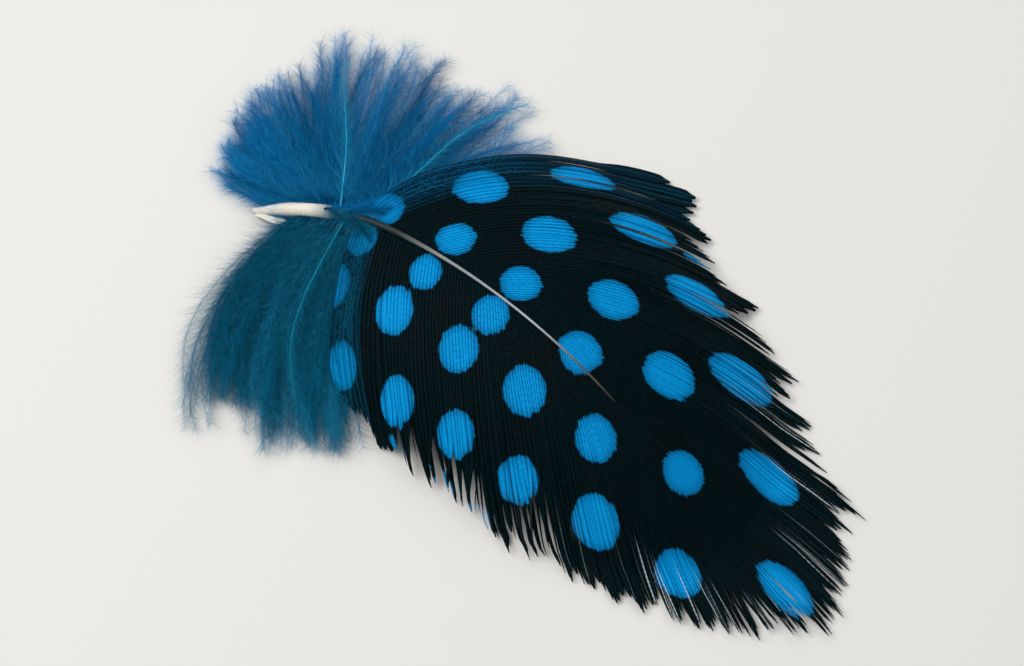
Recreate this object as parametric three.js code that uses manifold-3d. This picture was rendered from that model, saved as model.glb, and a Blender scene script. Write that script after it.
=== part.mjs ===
// Guinea fowl body feather, lying on a flat surface with its rounded upper side up.
// Millimetres. X runs along the feather from quill to tip, Y to its left, Z up.
import * as THREE from "three";
import { mergeVertices } from "three/addons/utils/BufferGeometryUtils.js";
import Module from "manifold-3d";

const wasm = await Module();
wasm.setup();

// Shaft: quill and rachis in one piece, arched upwards, bowed to the left, the quill turned to the right
const SHAFT_LENGTH = 62;
const SHAFT_ARCH = 9.5;
const SHAFT_BOW = 3.4;
const QUILL_TURN = 3.5;
const QUILL_TURN_REACH = 16;
const QUILL_LENGTH = 8;
const QUILL_RADIUS = 0.75;
const QUILL_TIP_RADIUS = 0.35;
const QUILL_TIP_TAPER = 3.5;
const SHAFT_END_RADIUS = 0.12;
const SHAFT_TAPER_POWER = 7;
const SHAFT_SIDES = 8;
const SHAFT_STEPS = 40;

// Web: the closed, spotted part of each vane, a thin domed sheet edged with locks of barbs
const WEB_START = 11;
const WEB_END = 61.2;
const WEB_THICKNESS = 0.5;
const WEB_EDGE_THICKNESS = 0.25;
const WEB_LOCKS = 22;
const WEB_STEPS_PER_LOCK = 3;
const WEB_STEPS_OUT = 7;
const BARB_PEAK = 0.38;
const BARB_TIP_SHARE = 0.34;
const BARB_ANGLE_TIP = 8;
const BARB_ANGLE_POWER = 0.6;
const BARB_END_ANGLE_TIP = 3;
const BARB_END_POWER = 0.62;
const LOCK_NOTCH = 0.07;
const LOCK_LENGTH_SCATTER = 0.045;
const LOCK_ANGLE_SCATTER = 2.2;

// Down: the loose, fluffy locks on each side of the shaft between quill and web
const DOWN_START = 5.2;
const DOWN_END = 9;
const DOWN_LOCKS = 13;
const DOWN_LENGTH_SCATTER = 0.1;
const DOWN_FULL_PLACE = 0.54;
const DOWN_CURL_SCATTER = 4;
const DOWN_SWEEP = 0.64;
const DOWN_ROOT_RADIUS = 0.45;
const DOWN_HALF_WIDTH = 1.9;
const DOWN_HALF_HEIGHT = 1.5;
const DOWN_PLUMPNESS = 0.7;
const DOWN_POINT_RADIUS = 0.06;
const DOWN_FLATTENING = 0.3;
const DOWN_DROOP_POWER = 3;
const DOWN_STEPS = 7;
const DOWN_SIDES = 6;

// Fit of the pieces to each other and to the surface below
const GAP = 0.3;
const SURFACE_EASE = 0.8;

// The two sides: the left vane is longer in the barb and flatter, the right one rounder.
// The barb angles are those of the web's first barb, where it leaves the shaft and at its end, and the base
// share is its length over the longest. The down angles are those of the locks next to the quill's tip and
// next to the web. The curl is how far the lock next to the quill turns on its way out, and the quill share
// is its length over that of the full locks.
const LEFT = {
  sign: 1,
  barbLength: 34,
  barbBaseShare: 1.08,
  barbAngle: 74,
  barbEndAngle: 38,
  rounding: 29,
  downLength: 22,
  downQuillShare: 0.53,
  downQuillAngle: 160,
  downQuillCurl: -2,
  downWebAngle: 70,
};
const RIGHT = {
  sign: -1,
  barbLength: 29,
  barbBaseShare: 0.74,
  barbAngle: 91,
  barbEndAngle: 51,
  rounding: 21.5,
  downLength: 24.5,
  downQuillShare: 1,
  downQuillAngle: 134,
  downQuillCurl: -62,
  downWebAngle: 87,
};

// Which of the fixed scatters each varied measure takes
const SERIES = { lockAngle: 1, lockLength: 5, downLength: 9, downCurl: 13 };

const { degToRad, lerp, smoothstep } = THREE.MathUtils;

// The line through the middle of the shaft: two parabolas over a straight chord, and a third at the quill.
class ShaftLine extends THREE.Curve {
  getPoint(share, target = new THREE.Vector3()) {
    const hump = 4 * share * (1 - share);
    const turned = Math.max(0, 1 - (share * SHAFT_LENGTH) / QUILL_TURN_REACH);
    const sideways = SHAFT_BOW * hump - QUILL_TURN * turned ** 2;
    return target.set(SHAFT_LENGTH * share, sideways, QUILL_RADIUS + SHAFT_ARCH * hump);
  }

  // Left and up directions, square to the line, and the level direction ahead, at a share of the length.
  getAxes(share) {
    const slope = (4 * (1 - 2 * share)) / SHAFT_LENGTH;
    const turned = Math.max(0, 1 - (share * SHAFT_LENGTH) / QUILL_TURN_REACH);
    const sideways = SHAFT_BOW * slope + (2 * QUILL_TURN * turned) / QUILL_TURN_REACH;
    const forward = new THREE.Vector3(1, sideways, SHAFT_ARCH * slope).normalize();
    const left = new THREE.Vector3(-forward.y, forward.x, 0).normalize();
    const ahead = new THREE.Vector3(left.y, -left.x, 0);
    return { left, up: forward.clone().cross(left), ahead };
  }
}

const shaftLine = new ShaftLine();

// The shaft's radius: a rounded quill tip, a full quill, then a taper that soon thins to a hairline.
function shaftRadius(along) {
  const tip = smoothstep(along, 0, QUILL_TIP_TAPER);
  const beyondQuill = Math.max(0, (along - QUILL_LENGTH) / (SHAFT_LENGTH - QUILL_LENGTH));
  const fullness = (1 - beyondQuill) ** SHAFT_TAPER_POWER;
  return lerp(SHAFT_END_RADIUS, lerp(QUILL_TIP_RADIUS, QUILL_RADIUS, tip), fullness);
}

// A fixed scatter from -1 to 1 for item number k of a series.
function scatter(k, series) {
  const wave = Math.sin(k * 12.9898 + series * 78.233) * 43758.5453;
  return 2 * (wave - Math.floor(wave)) - 1;
}

// A height eased so that it never sinks below the given rest height.
function restOn(height, rest) {
  const above = height - rest;
  return rest + (above + Math.hypot(above, SURFACE_EASE)) / 2;
}

// A point of the domed vane: along the shaft, out from it by arc length, and raised along the normal.
function vanePoint(side, along, out, raised) {
  const share = along / SHAFT_LENGTH;
  const { left, up } = shaftLine.getAxes(share);
  const turn = out / side.rounding;
  const sideways = side.sign * (side.rounding + raised) * Math.sin(turn);
  const upwards = (side.rounding + raised) * Math.cos(turn) - side.rounding;
  return shaftLine.getPoint(share).addScaledVector(left, sideways).addScaledVector(up, upwards);
}

// The place reached along a barb that leaves the shaft at one angle and bends steadily to another.
function barbPlace(root, length, startAngle, endAngle, share) {
  const bend = endAngle - startAngle;
  const angle = startAngle + bend * share;
  return {
    along: root + (length * (Math.sin(angle) - Math.sin(startAngle))) / bend,
    out: (length * (Math.cos(startAngle) - Math.cos(angle))) / bend,
    angle,
  };
}

// A closed skin over a list of equal rings of points, capped at both ends.
function loft(rings) {
  const size = rings[0].length;
  const last = size * (rings.length - 1);
  const faces = [];
  for (let ring = 0; ring < last; ring += size) {
    for (let i = 0; i < size; i++) {
      const a = ring + i;
      const b = ring + ((i + 1) % size);
      faces.push(a, b, a + size, b, b + size, a + size);
    }
  }
  for (let i = 1; i < size - 1; i++) faces.push(0, i + 1, i, last, last + i, last + i + 1);
  return new THREE.BufferGeometry().setFromPoints(rings.flat()).setIndex(faces);
}

// The shaft: an eight-sided tube that tapers along its line.
function shaftGeometry() {
  const rings = [];
  for (let step = 0; step <= SHAFT_STEPS; step++) {
    const share = step / SHAFT_STEPS;
    const { left, up } = shaftLine.getAxes(share);
    const radius = shaftRadius(share * SHAFT_LENGTH);
    const ring = [];
    for (let corner = 0; corner < SHAFT_SIDES; corner++) {
      const angle = ((corner + 0.5) / SHAFT_SIDES) * 2 * Math.PI;
      const point = shaftLine.getPoint(share);
      point.addScaledVector(left, radius * Math.cos(angle)).addScaledVector(up, radius * Math.sin(angle));
      ring.push(point);
    }
    rings.push(ring);
  }
  return loft(rings);
}

// A barb's length over the longest: one parabola from the web's base to the peak, another on to the tip.
function barbLengthShare(side, place) {
  const towardsTip = place > BARB_PEAK;
  const reach = towardsTip ? 1 - BARB_PEAK : BARB_PEAK;
  const endShare = towardsTip ? BARB_TIP_SHARE : side.barbBaseShare;
  return 1 - (1 - endShare) * ((place - BARB_PEAK) / reach) ** 2;
}

// One column of the web's skin: the upper and lower side of the barb at a share of the web's length.
function webRing(side, column) {
  const place = column / (WEB_LOCKS * WEB_STEPS_PER_LOCK);
  const lock = Math.min(WEB_LOCKS - 1, Math.floor(column / WEB_STEPS_PER_LOCK));
  const offMiddle = 2 * (column / WEB_STEPS_PER_LOCK - lock) - 1;
  const varied = column % WEB_STEPS_PER_LOCK === 0 ? 0 : 1;
  const swing = varied * (1 - place) * LOCK_ANGLE_SCATTER * scatter(lock, SERIES.lockAngle + side.sign);
  const stretch = varied * LOCK_LENGTH_SCATTER * scatter(lock, SERIES.lockLength + side.sign);
  const start = lerp(side.barbAngle, BARB_ANGLE_TIP, place ** BARB_ANGLE_POWER) + swing;
  const end = lerp(side.barbEndAngle, BARB_END_ANGLE_TIP, place ** BARB_END_POWER) + swing;
  const notched = 1 - LOCK_NOTCH * offMiddle ** 2;
  const length = side.barbLength * barbLengthShare(side, place) * (1 + stretch) * notched;
  const root = lerp(WEB_START, WEB_END, place);
  const clear = shaftRadius(root) + GAP;
  const upper = [];
  const lower = [];
  for (let step = 0; step <= WEB_STEPS_OUT; step++) {
    const share = step / WEB_STEPS_OUT;
    const { along, out } = barbPlace(root, length, degToRad(start), degToRad(end), share);
    const half = lerp(WEB_THICKNESS, WEB_EDGE_THICKNESS, share) / 2;
    const middle = vanePoint(side, along, clear + out, 0);
    const across = vanePoint(side, along, clear + out, half).sub(middle);
    middle.z = restOn(middle.z, WEB_THICKNESS / 2);
    upper.push(middle.clone().add(across));
    lower.unshift(middle.clone().sub(across));
  }
  const ring = [...upper, ...lower];
  return side === LEFT ? ring.reverse() : ring;
}

// One vane's web: barbs side by side in a sheet, its edge notched between the locks.
function webGeometry(side) {
  const rings = [];
  for (let column = 0; column <= WEB_LOCKS * WEB_STEPS_PER_LOCK; column++) rings.push(webRing(side, column));
  return loft(rings);
}

// One lock of down: a plump, pointed spindle that droops from the shaft and lies flat on the surface.
function downLockGeometry(side, lock) {
  const place = lock / (DOWN_LOCKS - 1);
  const grown = lerp(side.downQuillShare, 1, smoothstep(place, 0, DOWN_FULL_PLACE));
  const uneven = 1 + DOWN_LENGTH_SCATTER * scatter(lock, SERIES.downLength + side.sign);
  const length = side.downLength * grown * uneven;
  const start = lerp(side.downQuillAngle, side.downWebAngle, place);
  const loose = DOWN_CURL_SCATTER * scatter(lock, SERIES.downCurl + side.sign);
  const end = lerp(side.downQuillAngle + side.downQuillCurl, side.downWebAngle * DOWN_SWEEP, place) + loose;
  const root = lerp(DOWN_START, DOWN_END, place);
  const rooted = shaftLine.getPoint(root / SHAFT_LENGTH);
  const { left, ahead } = shaftLine.getAxes(root / SHAFT_LENGTH);
  const clear = shaftRadius(root) + GAP + DOWN_ROOT_RADIUS * Math.abs(Math.cos(degToRad(start)));
  const rings = [];
  for (let step = 0; step <= DOWN_STEPS; step++) {
    const share = step / DOWN_STEPS;
    const { along, out, angle } = barbPlace(0, length, degToRad(start), degToRad(end), share);
    const plump = Math.sin(Math.PI * share) ** DOWN_PLUMPNESS;
    const stalk = DOWN_ROOT_RADIUS * (1 - share);
    const halfWidth = Math.max(stalk, DOWN_HALF_WIDTH * plump) + DOWN_POINT_RADIUS;
    const halfHeight = Math.max(stalk, DOWN_HALF_HEIGHT * plump) + DOWN_POINT_RADIUS;
    const height = lerp(halfHeight * DOWN_FLATTENING, rooted.z, (1 - share) ** DOWN_DROOP_POWER);
    const ring = [];
    for (let corner = 0; corner < DOWN_SIDES; corner++) {
      const around = ((corner + 0.5) / DOWN_SIDES) * 2 * Math.PI;
      const wide = halfWidth * Math.cos(around);
      const point = rooted.clone().addScaledVector(ahead, along - wide * Math.sin(angle));
      point.addScaledVector(left, side.sign * (clear + out + wide * Math.cos(angle)));
      ring.push(point.setZ(Math.max(0, height + halfHeight * Math.sin(around))));
    }
    rings.push(side === LEFT ? ring : ring.reverse());
  }
  return loft(rings);
}

// A closed geometry as a solid for joining.
function solidOf(geometry) {
  const merged = mergeVertices(geometry);
  const vertProperties = merged.attributes.position.array;
  const triVerts = new Uint32Array(merged.index.array);
  return new wasm.Manifold(new wasm.Mesh({ numProp: 3, vertProperties, triVerts }));
}

// All of one side's down locks, grown together where they crowd at the shaft.
function downGeometry(side) {
  let tuft = solidOf(downLockGeometry(side, 0));
  for (let lock = 1; lock < DOWN_LOCKS; lock++) tuft = tuft.add(solidOf(downLockGeometry(side, lock)));
  const { vertProperties, triVerts } = tuft.getMesh();
  const position = new THREE.BufferAttribute(vertProperties, 3);
  return new THREE.BufferGeometry().setAttribute("position", position).setIndex([...triVerts]);
}

const keratin = new THREE.MeshStandardMaterial({ color: 0xd9c9b4, roughness: 0.35 });
const blackBarbs = new THREE.MeshStandardMaterial({ color: 0x0c1214, roughness: 0.6 });
const blueDown = new THREE.MeshStandardMaterial({ color: 0x0a5c93, roughness: 0.9 });

function piece(name, geometry, material) {
  const mesh = new THREE.Mesh(geometry, material);
  mesh.name = name;
  geometry.computeVertexNormals();
  return mesh;
}

const feather = new THREE.Group();
feather.add(
  piece("shaft", shaftGeometry(), keratin),
  piece("left_vane", webGeometry(LEFT), blackBarbs),
  piece("right_vane", webGeometry(RIGHT), blackBarbs),
  piece("left_down", downGeometry(LEFT), blueDown),
  piece("right_down", downGeometry(RIGHT), blueDown),
);

// The origin is the middle of the feather's footprint, on the surface it lies on.
const box = new THREE.Box3().setFromObject(feather);
feather.position.set(-(box.min.x + box.max.x) / 2, -(box.min.y + box.max.y) / 2, -box.min.z);

export default feather;
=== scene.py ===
"""A dyed guinea fowl body feather: shaft, spotted vanes of barbs, and loose down, built on its solids.

Sizes are in millimetres and angles in degrees, up to the stage, which is in metres.
X runs from quill to tip, Y to the feather's left, Z up.
"""
from collections import namedtuple

import bpy
import numpy as np
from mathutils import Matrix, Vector


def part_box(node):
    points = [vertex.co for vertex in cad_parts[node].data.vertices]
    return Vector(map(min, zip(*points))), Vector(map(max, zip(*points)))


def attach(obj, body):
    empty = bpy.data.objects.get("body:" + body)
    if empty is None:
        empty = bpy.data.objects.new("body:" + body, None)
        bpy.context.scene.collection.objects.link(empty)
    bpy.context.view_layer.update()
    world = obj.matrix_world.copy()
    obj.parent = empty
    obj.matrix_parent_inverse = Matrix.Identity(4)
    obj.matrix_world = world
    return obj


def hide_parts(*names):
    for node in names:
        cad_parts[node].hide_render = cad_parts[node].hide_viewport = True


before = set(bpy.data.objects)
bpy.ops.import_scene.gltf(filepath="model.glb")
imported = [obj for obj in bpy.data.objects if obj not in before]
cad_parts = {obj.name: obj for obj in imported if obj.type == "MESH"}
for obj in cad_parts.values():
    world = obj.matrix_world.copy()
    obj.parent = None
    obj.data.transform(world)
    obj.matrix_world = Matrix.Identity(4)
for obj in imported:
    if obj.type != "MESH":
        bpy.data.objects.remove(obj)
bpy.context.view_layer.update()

MM = 0.001

# Shaft: the same line and taper as the solid
SHAFT_LENGTH = 62.0
SHAFT_ARCH = 9.5
SHAFT_BOW = 3.4
QUILL_TURN = 3.5
QUILL_TURN_REACH = 16.0
QUILL_LENGTH = 8.0
QUILL_RADIUS = 0.75
QUILL_TIP_RADIUS = 0.35
QUILL_TIP_TAPER = 3.5
SHAFT_END_RADIUS = 0.12
SHAFT_TAPER_POWER = 7.0
SOLID_SHAFT_STEPS = 40
SOLID_SHAFT_SIDES = 8

# Shaft: what the solid leaves out, a groove beneath and a dip under the barbs between two places
SHAFT_STEPS = 180
SHAFT_SIDES = 20
SHAFT_GROOVE = 0.25
SHAFT_GROOVE_POWER = 6
SHAFT_DIPS = (43.0, 49.0)
SHAFT_DIP = 0.3

# A strip of the quill's sheath that has come loose on the right:
# where it runs, how far out before it curls away, the curl and its drop, its section and its ends
STRIP_RUN = (0.2, 5.2)
STRIP_OUT = (0.5, 1.35)
STRIP_OUT_BY = 0.5
STRIP_CURL = 2.6
STRIP_CURL_POWER = 5.0
STRIP_DROP = 0.7
STRIP_HALF_WIDTH = 0.42
STRIP_HALF_THICKNESS = 0.09
STRIP_END_SHARE = 0.15
STRIP_ENDS = (0.02, 0.98)
STRIP_STEPS = 30
STRIP_SIDES = 10
# The strip is as pale as the quill, so it takes this much of the shaft's run of tones
STRIP_TONES = 0.1

# Web: the same barb lengths, angles and locks as the solids
WEB_START = 11.0
WEB_END = 61.2
WEB_THICKNESS = 0.5
WEB_LOCKS = 22
BARB_PEAK = 0.38
BARB_TIP_SHARE = 0.34
BARB_ANGLE_TIP = 8.0
BARB_ANGLE_POWER = 0.6
BARB_END_ANGLE_TIP = 3.0
BARB_END_POWER = 0.62
LOCK_NOTCH = 0.07
LOCK_LENGTH_SCATTER = 0.045
LOCK_ANGLE_SCATTER = 2.2

# Down: the same locks as the solids
DOWN_START = 5.2
DOWN_LOCKS = 13
DOWN_LENGTH_SCATTER = 0.1
DOWN_FULL_PLACE = 0.54
DOWN_CURL_SCATTER = 4.0
DOWN_SWEEP = 0.64
DOWN_HALF_WIDTH = 1.9
DOWN_HALF_HEIGHT = 1.5
DOWN_FLATTENING = 0.3
DOWN_DROOP_POWER = 3

GAP = 0.3
SURFACE_EASE = 0.8

# The two sides: lengths and angles of the barbs, the rounding of the vane, and the angles of the down
Side = namedtuple("Side", "name sign barb_length barb_base_share barb_angle barb_end_angle rounding "
                  "down_length down_quill_share down_quill_angle down_quill_curl down_web_angle")
LEFT = Side("left", 1, barb_length=34.0, barb_base_share=1.08, barb_angle=74.0, barb_end_angle=38.0,
            rounding=29.0, down_length=22.0, down_quill_share=0.53, down_quill_angle=160.0,
            down_quill_curl=-2.0, down_web_angle=70.0)
RIGHT = Side("right", -1, barb_length=29.0, barb_base_share=0.74, barb_angle=91.0, barb_end_angle=51.0,
             rounding=21.5, down_length=24.5, down_quill_share=1.0, down_quill_angle=134.0,
             down_quill_curl=-62.0, down_web_angle=87.0)

# Which fixed scatter each varied measure takes; the first four are the solids' own
SERIES = {"lock_angle": 1, "lock_length": 5, "down_length": 9, "down_curl": 13,
          "barb_length": 21, "barb_lift": 25, "lock_lift": 29, "wander": 33, "spot_shift": 37,
          "spot_size": 41, "barbule_angle": 45, "barbule_length": 49, "down_wave": 53, "down_turn": 57,
          "down_rise": 58, "spot_place": 61, "worn": 65, "barb_angle": 69, "fray": 73, "lock_open": 77,
          "down_tone": 81}

# Barbs of the web as ribbons: a raised ramus with a thin web of barbules on each side.
# The ribbon's section runs round its upper side and back along its keel, in half widths across and mm up,
# and its tone is how much of the ramus shows there; the colour uses it for a painted highlight along the
# ramus, which leaves the ribbon's edges darker as painted shade.
BARBS = 132
BARB_STEPS = 48
BARB_OVERLAP = 1.3
BARB_HALF_WIDTH_LEAST = 0.1
BARB_HALF_WIDTH_MOST = 0.8
BARB_POINT_STARTS = 0.95
BARB_POINT_SHARE = 0.25
BARB_LENGTH_SCATTER = 0.02
BARB_LIFT = 0.07
BARB_LIFT_RISES = (0.1, 0.8)
BARB_WANDER = 0.0016
BARB_WANDER_WAVES = 5
BARB_ROOT_SHARE = 0.25
RIBBON_ACROSS = (-1.0, -0.5, -0.14, 0.0, 0.14, 0.5, 1.0, 0.35, 0.0, -0.35)
RIBBON_UP = (0.0, 0.005, 0.018, 0.04, 0.018, 0.005, 0.0, -0.045, -0.1, -0.045)
RIBBON_TILT = 0.025
RIBBON_HIGHLIGHT = (0.0, 0.05, 0.5, 1.0, 0.5, 0.05, 0.0, 0.1, 0.4, 0.1)
# At the barb's root the painted highlight along the ramus takes this share of its full strength
RIBBON_HIGHLIGHT_AT_ROOT = 0.55
LOCK_GATHER = 0.3
LOCK_OPENS = 0.78
LOCK_OPEN_RANGE = (-0.3, 0.8)
LOCK_LIFT = 0.5
TIP_GATHER = 0.8
TIP_GATHER_STARTS = 0.86
TIP_CROSSING = 0.3
ROOT_INSET = 0.4
ROOT_CROSSING = -0.7
RIPPLES = 7
RIPPLE_HEIGHT = 0.16
RIPPLE_SLANT = 4
RIPPLE_RISES = (0.1, 0.7)

# Where the web is torn open: place along the web, share of the barbs where it starts, width
SPLITS = {
    "left": ((0.235, 0.5, 0.010), (0.47, 0.5, 0.012), (0.72, 0.6, 0.006), (0.90, 0.45, 0.008)),
    "right": ((0.345, 0.6, 0.010), (0.395, 0.65, 0.008), (0.66, 0.7, 0.006)),
}
SPLIT_REACH = 0.03

# Where barbs have come apart one by one: place along the web, reach, share where it starts, strength
FRAYS = {
    "left": ((0.0, 0.05, 0.6, 0.35), (0.28, 0.05, 0.75, 0.6),
             (0.50, 0.04, 0.8, 0.5), (0.93, 0.12, 0.75, 0.7)),
    "right": ((0.0, 0.05, 0.6, 0.35), (0.20, 0.14, 0.72, 1.0),
              (0.36, 0.09, 0.62, 1.0), (0.92, 0.12, 0.65, 0.6)),
}
FRAY_SPREAD = 0.016
FRAY_THINNING = 0.45
FRAY_LIFT = 0.6
FRAY_LONGER = 0.06

# The lowest barbs are half down: tinted, and with loose fluff that thins out barb by barb and along each barb
BASE_TINT_REACH = 0.07
FLUFFY_BARBS = 8
FLUFF_RAISED = 0.12
FLUFF_LEAST = 0.06
FLUFF_THINNING_POWER = 1.5
FLUFF_FADES = {"left": (0.15, 0.6), "right": (0.4, 1.1)}

# Wisps of down that lie along the foot of the rachis, in a few angles by turns, with shorter hair
WISPS_START = 7.4
WISPS_PITCH = 0.55
WISPS = 6
WISP_LENGTH = 4.0
WISP_ANGLE = 8.0
WISP_TURN = 12.0
WISP_TURNS = 3
WISP_ANGLE_SCATTER = 4.0
WISP_FULL = 0.4

# Single rami painted white towards their ends, a painted highlight of light caught on their bare tips: the
# share of the barb and the place along the web where it starts, and how soon it is full; a barb takes it by
# how far its scatter goes into the range
RAMI_GLINT_STARTS = 0.62
RAMI_GLINT_PLACE = 0.3
RAMI_GLINT_RISE = 0.2
RAMI_GLINT_RANGE = (0.5, 0.95)

# Barbules of the web, far fewer and about five times as thick as real ones, so that they show
BARBULES = 40
BARBULE_LENGTH = 0.46
BARBULE_RADIUS = 0.035
BARBULE_ANGLE = 38.0
BARBULE_ANGLE_SCATTER = 6.0
BARBULE_LENGTH_SCATTER = 0.2
BARBULE_ROOT_OUT = 0.12
BARBULE_ROOT_UP = 0.035
BARBULE_TIP_RISE = 0.012
# How much painted highlight each barbule takes, at the three points round its root and at its end
BARBULE_HIGHLIGHTS = (0.9, 0.9, 0.9, 0.35)

# Spots in rows that close in on the shaft towards the tip:
# side, first spot along the shaft, pitch, count, first and last distance out, closing power,
# half length along the barbs, half width across them
SPOT_ROWS = (
    (1, 13.1, 8.4, 3, 2.2, 2.4, 1.0, 2.3, 2.1),
    (1, 39.3, 15.8, 2, 0.8, 0.8, 1.0, 2.5, 2.2),
    (1, 19.3, 9.2, 4, 9.4, 6.2, 2.5, 2.9, 2.4),
    (1, 25.6, 8.8, 6, 19.6, 2.4, 1.8, 3.9, 2.0),
    (1, 42.1, 9.0, 1, 21.4, 21.4, 1.0, 3.4, 0.6),
    (-1, 12.5, 8.6, 3, 2.4, 2.0, 1.0, 2.2, 2.0),
    (-1, 11.6, 8.7, 5, 7.8, 4.2, 2.0, 2.7, 2.3),
    (-1, 17.3, 9.0, 6, 15.6, 5.8, 2.4, 3.1, 2.4),
    (-1, 22.5, 7.7, 4, 21.0, 19.6, 1.0, 2.6, 1.2),
)
SPOT_PLACE_SCATTER = 0.35
SPOT_SIZE_SCATTER = 0.05
SPOT_BARB_SCATTER = 0.03
SPOT_SHIFT = 0.1
# How far a spot's scatter moves on from one barb to the next
SPOT_STRIDE = 7

# The barbs' colour: the size of its grain, about a barb's width, and of its clouds,
# and how far the grain moves a spot's edge
BARB_GRAIN = 0.5
BARB_CLOUDS = 4.0
SPOT_EDGE_GRAIN = 0.3

# Down: barbs in each lock, and the long soft barbules on them
DOWN_BARBS_PER_LOCK = 14
DOWN_BARBS_END = 12.0
DOWN_BARB_STEPS = 20
DOWN_BARB_RADIUS = 0.04
DOWN_BARB_THINNING = 0.8
DOWN_ROOT_INSET = 0.4
DOWN_SPLAY = 0.72
DOWN_SPLAY_POWER = 0.7
DOWN_LEAST_HALF_HEIGHT = 0.1
DOWN_WAVE = 0.6
DOWN_WAVES_WIDE = 6
DOWN_WAVES_HIGH = 5
DOWN_BARB_SCATTER = 9.0
DOWN_BARB_SHORTER = 0.22
DOWN_LOCK_LOOSENESS = 0.8
DOWN_BARB_SPREAD = 1.3
DOWN_BARBULES = 360
DOWN_BARBULE_LENGTH = 2.8
DOWN_BARBULE_RADIUS = 0.013
DOWN_BARBULE_ANGLE = 46.0
DOWN_BARBULE_TURN = 24.0
DOWN_BARBULE_LENGTH_SCATTER = 0.4
DOWN_BARBULE_END_SHARE = 0.6
DOWN_BARBULE_FLATNESS = 0.75
DOWN_BARBULE_TIPWARDS = (0.1, 1.0)
DOWN_HAIR_STARTS = 0.06

# Single stout barbs that lie on top of their lock, paler than the rest as a painted highlight
PALE_LOCKS = {"left": (6, 11), "right": (8,)}
PALE_STOUTER = 3.4
PALE_RAISED = 1.6
PALE_TONE = 1.4

# The map: the margins beside and at the ends of a tube's strip, where a barbule's four points lie
# in its cell, and the margin beside a downy barb's strip
TUBE_MARGIN = 0.04
TUBE_END_MARGIN = 0.02
BARBULE_CELL_ACROSS = (0.2, 0.1, 0.1, 0.4)
BARBULE_CELL_ALONG = (0.0, 0.4, -0.4, 0.0)
DOWN_MARGIN = 0.1

# In radians: the turn that spreads points most evenly round a circle
GOLDEN_ANGLE = 2.399963
UP = np.array([0.0, 0.0, 1.0])
# A direction that no strand runs along, to start its section from
OFF_DIRECTION = np.array([0.31, 0.17, 0.94])


def lerp(a, b, share):
    """The value at a share of the way from a to b."""
    return a + (b - a) * share


def ramp(value, low, high):
    """A smooth step: 0 below low, 1 above high, with level ends."""
    t = np.clip((value - low) / (high - low), 0.0, 1.0)
    return t * t * (3 - 2 * t)


def scatter(k, series):
    """A fixed scatter from -1 to 1 for item number k of a series: the fraction of a large sine."""
    wave = np.sin(k * 12.9898 + series * 78.233) * 43758.5453
    return 2 * (wave - np.floor(wave)) - 1


def unit(v):
    """Vectors divided by their lengths."""
    return v / np.linalg.norm(v, axis=-1, keepdims=True)


def shaft_point(along):
    """The shaft's middle line: a parabola up and one sideways over a straight chord, a third at the quill."""
    share = along / SHAFT_LENGTH
    hump = 4 * share * (1 - share)
    turned = np.clip(1 - along / QUILL_TURN_REACH, 0, None)
    sideways = SHAFT_BOW * hump - QUILL_TURN * turned ** 2
    return np.stack([along, sideways, QUILL_RADIUS + SHAFT_ARCH * hump], -1)


def shaft_axes(along):
    """Left and up directions square to the shaft's line."""
    slope = 4 * (1 - 2 * along / SHAFT_LENGTH) / SHAFT_LENGTH
    turned = np.clip(1 - along / QUILL_TURN_REACH, 0, None)
    sideways = SHAFT_BOW * slope + 2 * QUILL_TURN * turned / QUILL_TURN_REACH
    forward = unit(np.stack([np.ones_like(slope), sideways, SHAFT_ARCH * slope], -1))
    left = unit(np.stack([-forward[..., 1], forward[..., 0], np.zeros_like(slope)], -1))
    return left, np.cross(forward, left)


def shaft_radius(along):
    """A rounded quill tip, a full quill, then a taper by a power law that soon thins to a hairline."""
    tip = lerp(QUILL_TIP_RADIUS, QUILL_RADIUS, ramp(along, 0, QUILL_TIP_TAPER))
    beyond = np.clip((along - QUILL_LENGTH) / (SHAFT_LENGTH - QUILL_LENGTH), 0, 1)
    return lerp(SHAFT_END_RADIUS, tip, (1 - beyond) ** SHAFT_TAPER_POWER)


def shaft_rings(steps, sides, groove=0.0):
    """Rings round the shaft's line; groove presses a channel into the underside."""
    along = SHAFT_LENGTH * np.linspace(0, 1, steps + 1)[:, None]
    around = 2 * np.pi * (np.arange(sides) + 0.5)[None, :] / sides
    left, up = shaft_axes(along)
    beneath = np.clip(-np.sin(around), 0, 1) ** SHAFT_GROOVE_POWER
    radius = shaft_radius(along) * (1 - groove * beneath)
    return (shaft_point(along) + left * (radius * np.cos(around))[..., None]
            + up * (radius * np.sin(around))[..., None])


def rest_on(height, rest):
    """A height eased so that it never sinks below rest: the upper branch of a hyperbola."""
    above = height - rest
    return rest + (above + np.hypot(above, SURFACE_EASE)) / 2


def vane_surface(side, along, out, raised):
    """Points of the domed vane and its normals: an arc square to the shaft, eased onto the surface below."""
    left, up = shaft_axes(along)
    turn = out / side.rounding
    outwards, upwards = side.sign * np.sin(turn), np.cos(turn)
    normal = left * outwards[..., None] + up * upwards[..., None]
    point = shaft_point(along) + normal * side.rounding - up * side.rounding
    above = point[..., 2] - WEB_THICKNESS / 2
    slope = (1 + above / np.hypot(above, SURFACE_EASE)) / 2
    point[..., 2] = rest_on(point[..., 2], WEB_THICKNESS / 2)
    normal = unit(np.stack([normal[..., 0] * slope, normal[..., 1] * slope, np.abs(normal[..., 2])], -1))
    return point + normal * np.asarray(raised)[..., None], normal


def bend(root, length, start, end, share):
    """Along, out and angle on a barb that leaves the shaft at one angle and turns steadily to another."""
    start, end = np.radians(start), np.radians(end)
    angle = lerp(start, end, share)
    along = root + length * (np.sin(angle) - np.sin(start)) / (end - start)
    out = length * (np.cos(start) - np.cos(angle)) / (end - start)
    return along, out, angle


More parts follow.
